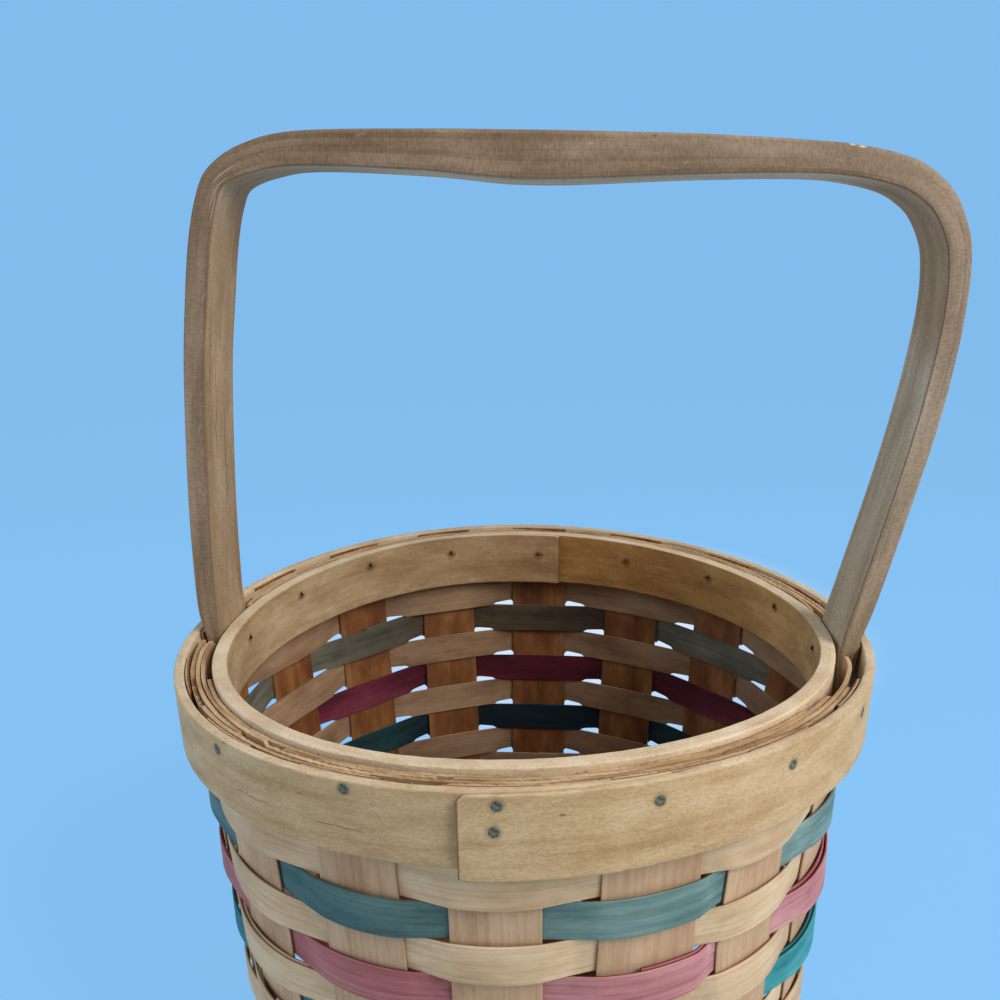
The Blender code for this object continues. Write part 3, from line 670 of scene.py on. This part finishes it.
def filler_place(side, middle, layer, length):
    """One raw splint of the rim, with its broken places."""
    foot = asin(FOOT_ROOM / INNER_HOOP_RADIUS)
    before, after = FILLER_ENDS[side, layer]
    first = middle - pi / 2 + foot + before
    last = middle + pi / 2 - foot - after
    breaks = FILLER_BREAKS.get((side, layer), ())
    curls = FILLER_CURLS.get((side, layer), (0.0, 0.0))
    seed = layer * 7.3 + middle

    def where(along, across, through):
        angle = first + (last - first) * (along / length + 0.5)
        drop = 0.0003 * (layer == 0) + 0.0004 * (1.0 + noise.noise(Vector((angle * 9, seed, 0.0))))
        drop += 0.0005 * abs(noise.noise(Vector((angle * 150, seed, 2.0))))
        if after > 0.1:
            drop += TORN_DEPTH * max(0.0, 1.0 - (last - angle) / TORN_RUN) ** 2
        for at, spread, bite in breaks:
            near = 1.0 - abs(angle - at) / spread
            if near > 0:
                jag = 0.75 + 0.6 * noise.noise(Vector((angle * 260, seed, 5.0)))
                drop += bite * min(1.0, 3.0 * near) * jag
        upper = across / FILLER_HEIGHT + 0.5
        depth = FILLER_TOP + FILLER_HEIGHT - (FILLER_HEIGHT - drop) * upper
        inner = inner_hoop_seat(depth) + GAP
        outer = wall_radius(depth) - STAKE_THICKNESS / 2 - GAP
        room = (outer - inner) / FILLER_LAYERS
        thin = 0.78 + 0.12 * noise.noise(Vector((angle * 5, seed, 9.0)))
        loose = (0.5 * noise.noise(Vector((angle * 3.1, seed, 4.0)))) * (1.0 - thin) * upper
        radius = inner + room * (layer + 0.5 + loose + thin * through / STAKE_THICKNESS)
        for curl, from_end in ((curls[0], angle - first), (curls[1], last - angle)):
            radius -= curl * max(0.0, 1.0 - from_end / CURL_RUN) ** 2
        return wall_point(angle, radius, depth)

    return where


for side, middle in (("back", pi / 2), ("front", -pi / 2)):
    nodes = {1: f"rim_filler_{side}_inner", 2: f"rim_filler_{side}_outer"}
    for layer in range(FILLER_LAYERS):
        length = pi * INNER_HOOP_RADIUS
        bm = saw_board(length, FILLER_HEIGHT, STAKE_THICKNESS, 520, 0.0001, across=2)
        bend_board(bm, filler_place(side, middle, layer, length),
                   Vector((layer * 2.1, middle * 3, 0.0)))
        finish_piece(f"filler_{side}_{layer + 1}", bm, raw_wood, "filler_wood",
                     *([nodes[layer]] if layer in nodes else []))

# Handle
# One ash-brown strip bent to a squared arch that leans to the right, thick at the grip and
# thinned at its feet, which are nailed between the hoops.  It is saw-marked and weathered, with
# a creased upper left corner that has a painted highlight along its folds, painted shade inside
# its right bend, and a painted shadow line along the arris of its front and inner faces.
HANDLE_WIDTH = 0.028
HANDLE_THICKNESS = 0.0075
HANDLE_EDGE = 0.0007
HANDLE_PATH = (
    (-0.10826, 0.1490, 0.0027), (-0.10924, 0.1595, 0.0042), (-0.11050, 0.1700, 0.0058),
    (-0.11160, 0.1800, 0.0070), (-0.11142, 0.2149, 0.0074), (-0.10922, 0.2583, 0.0075),
    (-0.10622, 0.2856, 0.0078),
    (-0.10362, 0.3032, 0.0076), (-0.10052, 0.3153, 0.0074), (-0.09642, 0.3227, 0.0076),
    (-0.08592, 0.3279, 0.0094), (-0.0690, 0.3305, 0.0106), (-0.0310, 0.3294, 0.0126),
    (-0.0060, 0.3277, 0.0146), (0.0120, 0.3271, 0.0147), (0.0305, 0.3269, 0.0136),
    (0.0545, 0.3267, 0.0120), (0.0845, 0.3256, 0.0098), (0.10102, 0.3241, 0.0092),
    (0.11572, 0.3206, 0.0090), (0.12392, 0.3157, 0.0086), (0.12902, 0.3099, 0.0080),
    (0.13308, 0.3003, 0.0073), (0.13425, 0.2905, 0.0069), (0.13405, 0.2800, 0.0066),
    (0.13275, 0.2670, 0.0067), (0.12932, 0.2454, 0.0069), (0.12372, 0.2198, 0.0067),
    (0.11542, 0.18605, 0.0067), (0.11100, 0.1700, 0.0058), (0.10924, 0.1595, 0.0042),
    (0.10826, 0.1490, 0.0027),
)


def handle_spot(knots, place):
    """A point on the smooth curve through the knots, and the thickness there."""
    spot = min(len(knots) - 2, max(0, int(place)))
    share = place - spot
    before, start, stop, after = (knots[max(0, spot - 1)], knots[spot], knots[spot + 1],
                                  knots[min(len(knots) - 1, spot + 2)])
    return 0.5 * (2.0 * start + (stop - before) * share
                  + (2.0 * before - 5.0 * start + 4.0 * stop - after) * share ** 2
                  + (3.0 * start - before - 3.0 * stop + after) * share ** 3)


def handle_place():
    """The bent shape of the handle along its knots, and its length."""
    knots = [Vector(knot) for knot in HANDLE_PATH]
    fine = [handle_spot(knots, step / 20) for step in range(20 * (len(knots) - 1) + 1)]
    runs = [0.0]
    for first, second in zip(fine, fine[1:]):
        runs.append(runs[-1] + (second.xy - first.xy).length)

    def where(along, across, through):
        run = (along / runs[-1] + 0.5) * runs[-1]
        low = 0
        high = len(runs) - 1
        while high - low > 1:
            middle = (low + high) // 2
            if runs[middle] <= run:
                low = middle
            else:
                high = middle
        share = (run - runs[low]) / (runs[high] - runs[low])
        spot = fine[low].lerp(fine[high], share)
        behind = fine[max(0, low - 6)]
        beyond = fine[min(len(fine) - 1, high + 6)]
        ahead = (beyond.xy - behind.xy).normalized()
        thick = spot.z * through / HANDLE_THICKNESS
        return Vector((AXIS_X + spot.x - ahead.y * thick, across, spot.y + ahead.x * thick))

    return where, runs[-1]


HANDLE_FOLDS = ((-0.121, -0.014, -0.0029), (-0.117, -0.014, -0.0018), (-0.113, -0.014, -0.0024),
                (-0.108, -0.014, -0.0006))
HANDLE_CRACKS = ((-0.190, -0.004, -0.00375), (-0.205, 0.004, -0.00375), (-0.165, -0.0095, -0.00375))
HANDLE_CHIPS = ((0.0895, -0.014, 0.0035), (0.0868, -0.014, 0.0037))
HANDLE_BEND_SHADE = ((0.130, 0.0, 0.0),)
wood = MaterialNodes("handle_wood", 0.75)
tone = wood.fibres((22.0, 70.0, 140.0), detail=5.0, roughness=0.6)
ring = wood.fibres((7.0, 160.0, 900.0), detail=4.0, distortion=0.4)
saw = wood.fibres((2100.0, 900.0, 900.0), detail=3.0, roughness=0.65)
pore = wood.fibres((260.0, 2500.0, 2500.0), detail=2.0)
rubbed = wood.fibres((90.0, 500.0, 300.0), detail=6.0, roughness=0.75)
left = wood.ramp(tone, ((0.32, (0.210, 0.145, 0.092)), (0.50, (0.290, 0.210, 0.145)),
                        (0.66, (0.370, 0.280, 0.200))))
right = wood.ramp(tone, ((0.32, (0.290, 0.220, 0.165)), (0.50, (0.390, 0.315, 0.248)),
                         (0.66, (0.500, 0.420, 0.345))))
front = wood.mix("MIX", wood.part("X", 0.09, 0.20), left, right)
left = wood.ramp(tone, ((0.32, (0.290, 0.190, 0.112)), (0.50, (0.375, 0.265, 0.163)),
                        (0.66, (0.460, 0.350, 0.235))))
grip = wood.ramp(tone, ((0.32, (0.660, 0.620, 0.530)), (0.50, (0.780, 0.740, 0.650)),
                        (0.66, (0.860, 0.820, 0.740))))
right = wood.ramp(tone, ((0.32, (0.470, 0.400, 0.310)), (0.50, (0.590, 0.515, 0.410)),
                         (0.66, (0.690, 0.615, 0.510))))
inside = wood.mix("MIX", wood.part("X", -0.13, -0.04), left, grip)
inside = wood.mix("MIX", wood.part("X", 0.07, 0.13), inside, right)
# Painted shade, a darker brown, on the inner face about the right bend.
inside = wood.mix("MULTIPLY", wood.near(HANDLE_BEND_SHADE, (1.0, 0.0, 0.0), 0.045, 0.9), inside,
                  (0.74, 0.62, 0.52))
base = wood.mix("MIX", wood.part("Z", -0.0034, -0.0036), front, inside)
base = wood.mix("MULTIPLY", 0.6, base, wood.ramp(
    ring, ((0.34, (0.58, 0.50, 0.42)), (0.48, (0.95, 0.94, 0.93)), (0.60, (1.0, 1.0, 1.0)))))
base = wood.mix("MULTIPLY", 0.55, base, wood.ramp(
    saw, ((0.38, (0.62, 0.57, 0.52)), (0.56, (1.0, 1.0, 1.0)))))
base = wood.mix("MIX", wood.mask(rubbed, 0.60, 0.76, 0.40), base, (0.70, 0.64, 0.55))
base = wood.mix("MULTIPLY", wood.mask(pore, 0.64, 0.72), base, (0.62, 0.56, 0.50))
base = wood.mix("MULTIPLY", wood.part("X", 0.17, 0.27), base, (0.78, 0.73, 0.64))
# A painted shadow line along the arris between the front and inner faces.
arris_shadow = wood.near(((0.0, -0.0138, -0.00355),), (0.0, 1.0, 1.0), 0.00045, 0.6)
base = wood.mix("MIX", arris_shadow, base, (0.15, 0.105, 0.075))
# Pale lines on the upper left corner's crease are a painted highlight on its folds; the bump is the
# crease itself.
crease_and_highlight = wood.near(HANDLE_FOLDS, (0.040, 0.3, 1.0), 0.00026, 0.5, 0.0006)
base = wood.mix("MIX", crease_and_highlight, base, (0.62, 0.53, 0.42))
cracks = wood.near(HANDLE_CRACKS, (0.015, 1.0, 1.0), 0.00035, 0.75, 0.0030)
base = wood.mix("MIX", cracks, base, (0.10, 0.06, 0.035))
chip = wood.near(HANDLE_CHIPS, (0.4, 1.0, 1.0), 0.00050, 0.6, 0.0020)
base = wood.mix("MIX", chip, base, (0.74, 0.68, 0.57))
wood.bump(ring, 0.00015, 0.5)
wood.bump(saw, 0.00014, 0.7)
wood.bump(crease_and_highlight, 0.0004, 0.8)
handle_wood = wood.colour(base)

where, length = handle_place()
bm = saw_board(length, HANDLE_WIDTH, HANDLE_THICKNESS, 420, HANDLE_EDGE, across=2)
bend_board(bm, where, Vector((0.0, 0.0, 0.0)))
finish_piece("bent_handle", bm, handle_wood, "handle_wood", "handle")

# Outer hoop
# A wider, thinner strip round the outside of the rim, lapped at the front with a rounded end,
# right over left.  It is scuffed, with a fine crack along the left of the lap.
OUTER_HOOP_THICKNESS = 0.0032
OUTER_HOOP_HEIGHT = 0.0242
OUTER_HOOP_NARROWING = 0.0026
OUTER_HOOP_TAPER = 0.05
OUTER_HOOP_CORNER = 0.0019
OUTER_LAP_AT = radians(-94.4)
RIM_RADIUS = 0.120


def outer_hoop_seat(depth):
    """Radius of the outer hoop's inner face at a depth below the rim."""
    return RIM_RADIUS - OUTER_HOOP_THICKNESS - OUTER_HOOP_TAPER * depth


length = (2 * pi + LAP_ANGLE) * (RIM_RADIUS - OUTER_HOOP_THICKNESS / 2)
outer_place = hoop_place(OUTER_LAP_AT, OUTER_HOOP_THICKNESS, OUTER_HOOP_HEIGHT,
                         OUTER_HOOP_NARROWING, OUTER_HOOP_CORNER, outer_hoop_seat, 1.0, length)
NAIL_SHIFTS = {10: -0.0012, 11: -0.0009, 12: -0.0004, 13: 0.0009}
LAP_NAIL_DEPTH = 0.0098
nail_spots = [(angle, depth + NAIL_SHIFTS.get(index, 0.0))
              for index, (angle, depth) in enumerate(zip(NAIL_ANGLES, NAIL_DEPTHS))]
nail_spots.append((NAIL_ANGLES[12] - radians(0.4), LAP_NAIL_DEPTH))
nail_logs = [hoop_log(angle, depth, OUTER_LAP_AT, OUTER_HOOP_HEIGHT, length)
             for angle, depth in nail_spots]
HOOP_CRACKS = ((-140.5, 0.0212), (-124.0, 0.0150), (-110.0, 0.0152))
outer_hoop_wood = hoop_wood(
    "outer_hoop_wood",
    ((0.50, 0.352, 0.195), (0.58, 0.430, 0.252), (0.65, 0.510, 0.325)),
    ((0.56, 0.425, 0.270), (0.66, 0.530, 0.355), (0.74, 0.620, 0.450)),
    roughness=0.66, edge=0.0012, length=length,
    nails=[(along, across, 0.0) for along, across in nail_logs], torn=0.0006,
    cracks=[(*hoop_log(radians(at), depth, OUTER_LAP_AT, OUTER_HOOP_HEIGHT, length), 0.0)
            for at, depth in HOOP_CRACKS])
bm = saw_board(length, OUTER_HOOP_HEIGHT, OUTER_HOOP_THICKNESS, 420, 0.0006, across=3)
bend_board(bm, outer_place, Vector((0.0, 0.0, 0.0)))
finish_piece("hoop_outside", bm, outer_hoop_wood, "hoop_wood", "outer_hoop")

# Nails
# Small flat-headed steel nails, dulled with age, one through each stake and a second low in the
# lap.  They are driven flush from outside, and their points are turned down over the inner hoop.
NAIL_RINGS = (
    (-0.00020, 0.00080), (-0.00019, 0.00125), (-0.00013, 0.00145), (-0.00003, 0.00154),
    (0.00012, 0.00156), (0.00012, 0.00060),
)
NAIL_SLOPE = 0.16
NAIL_BEND = 0.0005
NAIL_POINT = 0.0007

steel = MaterialNodes("dull_steel", 0.55)
steel.shader.inputs["Metallic"].default_value = 0.25
speckle = steel.fibres((900.0, 900.0, 900.0), detail=4.0)
dull = steel.ramp(speckle, ((0.36, (0.050, 0.052, 0.040)), (0.64, (0.22, 0.23, 0.17))))
rust = steel.ramp(speckle, ((0.36, (0.022, 0.012, 0.006)), (0.64, (0.090, 0.050, 0.024))))
nail_steel = steel.colour(steel.mix("MIX", steel.part("Z", 0.002, 0.005), dull, rust))


def forge_nail(reach):
    """A straight nail along z: its head, its shank and its point."""
    rings = list(NAIL_RINGS)
    rings += [(reach, 0.00045), (reach + NAIL_BEND * 0.5, 0.00044), (reach + NAIL_BEND, 0.00042),
              (reach + NAIL_BEND * 1.57, 0.00038), (reach + NAIL_BEND * 1.57 + NAIL_POINT, 0.00018)]
    bm = bmesh.new()
    bmesh.ops.create_circle(bm, cap_ends=True, segments=20, radius=rings[0][1])
    end = bm.faces[:][0]
    bmesh.ops.translate(bm, vec=(0.0, 0.0, rings[0][0]), verts=end.verts)
    for step, ((before, small), (after, large)) in enumerate(zip(rings, rings[1:])):
        grown = bmesh.ops.extrude_face_region(bm, geom=[end])["geom"]
        if step > 0:
            bm.faces.remove(end)
        end = next(item for item in grown if isinstance(item, bmesh.types.BMFace))
        bmesh.ops.scale(bm, vec=(large / small, large / small, 1.0), verts=end.verts)
        bmesh.ops.translate(bm, vec=(0.0, 0.0, after - before), verts=end.verts)
    return bm


for index, ((angle, depth), (along, across)) in enumerate(zip(nail_spots, nail_logs)):
    seat = outer_place(along, across, OUTER_HOOP_THICKNESS / 2)
    tilt = atan(OUTER_HOOP_TAPER)
    inward = Vector((-cos(angle) * cos(tilt), -sin(angle) * cos(tilt), sin(tilt)))
    side = Vector((-sin(angle), cos(angle), 0.0))
    upward = side.cross(inward)
    lapped = max(0.0, 1.0 - ((angle - INNER_LAP_AT) % (2 * pi)) / LAP_ANGLE)
    inside = inner_hoop_seat(depth) - INNER_HOOP_THICKNESS - (LAP_TIP + GAP) * lapped
    inside += RIM_OVAL * cos(2 * (angle - OVAL_LONG_AT))
    reach = (seat - Vector((AXIS_X, 0.0, seat.z))).length - inside

    def where(x, y, z):
        swing = min(max(0.0, z - reach) / NAIL_BEND, pi / 2)
        drop = max(0.0, z - reach - NAIL_BEND * pi / 2)
        axis = inward * (min(z, reach) + NAIL_BEND * sin(swing))
        axis -= upward * (NAIL_BEND * (1.0 - cos(swing)) + drop + NAIL_SLOPE * min(max(0.0, z), reach))
        return seat + axis + side * x + (upward * cos(swing) + inward * sin(swing)) * y

    bm = forge_nail(reach)
    bend_board(bm, where, Vector((0.0, 0.0, 0.0)))
    label = f"{index + 1:02d}" if index < 16 else "lap"
    node = f"rim_nail_{label}" if index < 16 else "lap_nail"
    finish_piece(f"nail_{label}", bm, nail_steel, "nail_steel", node)

# Floor, backdrop and light
# A plain pale blue floor, whitish behind the basket, that runs out to a sky of the same blue.
# A broad soft lamp high to the right of the camera, a weak cool one to the left, and even light.
BACKGROUND = (0.223, 0.503, 0.850)


def looked_at(tree):
    """White for what is looked at, or seen in a reflection, and black for what only lights."""
    paths = tree.nodes.new("ShaderNodeLightPath")
    seen = paths.outputs["Is Camera Ray"]
    for name in ("Is Glossy Ray", "Is Transmission Ray"):
        either = tree.nodes.new("ShaderNodeMath")
        either.operation = "MAXIMUM"
        tree.links.new(seen, either.inputs[0])
        tree.links.new(paths.outputs[name], either.inputs[1])
        seen = either.outputs["Value"]
    return seen


floor_paint = bpy.data.materials.new("floor_paint")
floor_paint.use_nodes = True
tree = floor_paint.node_tree
glow = tree.nodes.new("ShaderNodeEmission")
glow.inputs["Strength"].default_value = 0.90
coordinates = tree.nodes.new("ShaderNodeTexCoord")
pool = tree.nodes.new("ShaderNodeMapping")
pool.vector_type = "TEXTURE"
pool.inputs["Location"].default_value = (0.0, 0.45, 0.0)
pool.inputs["Scale"].default_value = (0.25, 0.27, 1.0)
tree.links.new(coordinates.outputs["Object"], pool.inputs["Vector"])
round_fade = tree.nodes.new("ShaderNodeTexGradient")
round_fade.gradient_type = "SPHERICAL"
tree.links.new(pool.outputs["Vector"], round_fade.inputs["Vector"])
blues = tree.nodes.new("ShaderNodeValToRGB")
blues.color_ramp.elements[0].color = (*BACKGROUND, 1.0)
blues.color_ramp.elements[1].color = (0.70, 0.80, 0.93, 1.0)
blues.color_ramp.elements[1].position = 0.60
tree.links.new(round_fade.outputs["Fac"], blues.inputs["Fac"])
tree.links.new(blues.outputs["Color"], glow.inputs["Color"])
shaded = tree.nodes.new("ShaderNodeBsdfDiffuse")
shaded.inputs["Color"].default_value = (*[0.25 * value for value in BACKGROUND], 1.0)
painted = tree.nodes.new("ShaderNodeAddShader")
tree.links.new(glow.outputs["Emission"], painted.inputs[0])
tree.links.new(shaded.outputs["BSDF"], painted.inputs[1])
around = tree.nodes.new("ShaderNodeBsdfDiffuse")
around.inputs["Color"].default_value = (0.52, 0.59, 0.65, 1.0)
choose = tree.nodes.new("ShaderNodeMixShader")
tree.links.new(looked_at(tree), choose.inputs["Fac"])
tree.links.new(around.outputs["BSDF"], choose.inputs[1])
tree.links.new(painted.outputs["Shader"], choose.inputs[2])
tree.links.new(choose.outputs["Shader"], tree.nodes["Material Output"].inputs["Surface"])
bm = bmesh.new()
bmesh.ops.create_grid(bm, x_segments=1, y_segments=1, size=12.0)
mesh = bpy.data.meshes.new("floor")
bm.to_mesh(mesh)
bm.free()
mesh.materials.append(floor_paint)
floor = bpy.data.objects.new("floor", mesh)
bpy.context.collection.objects.link(floor)

LAMPS = (("warm_lamp", 10.3, (1.0, 0.95, 0.88), Vector((0.72, -0.46, 0.80))),
         ("cool_lamp", 2.6, (0.74, 0.87, 1.0), Vector((-0.85, -0.15, 0.45))))
LAMPS_AIM = Vector((0.0, 0.0, 0.18))
for name, energy, colour, spot in LAMPS:
    lamp = bpy.data.lights.new(name, "AREA")
    lamp.energy = energy
    lamp.color = colour
    lamp.size = 0.6
    soft_lamp = bpy.data.objects.new(name, lamp)
    soft_lamp.location = spot
    soft_lamp.rotation_euler = (spot - LAMPS_AIM).to_track_quat("Z", "Y").to_euler()
    bpy.context.collection.objects.link(soft_lamp)

world = bpy.data.worlds.new("even_light")
world.use_nodes = True
tree = world.node_tree
sky = tree.nodes["Background"]
sky.inputs["Color"].default_value = (*BACKGROUND, 1.0)
sky.inputs["Strength"].default_value = 1.0
even = tree.nodes.new("ShaderNodeBackground")
even.inputs["Color"].default_value = (1.0, 0.97, 0.92, 1.0)
even.inputs["Strength"].default_value = 0.40
choose = tree.nodes.new("ShaderNodeMixShader")
tree.links.new(looked_at(tree), choose.inputs["Fac"])
tree.links.new(even.outputs["Background"], choose.inputs[1])
tree.links.new(sky.outputs["Background"], choose.inputs[2])
tree.links.new(choose.outputs["Shader"], tree.nodes["World Output"].inputs["Surface"])
bpy.context.scene.world = world
bpy.context.scene.view_settings.view_transform = "Standard"
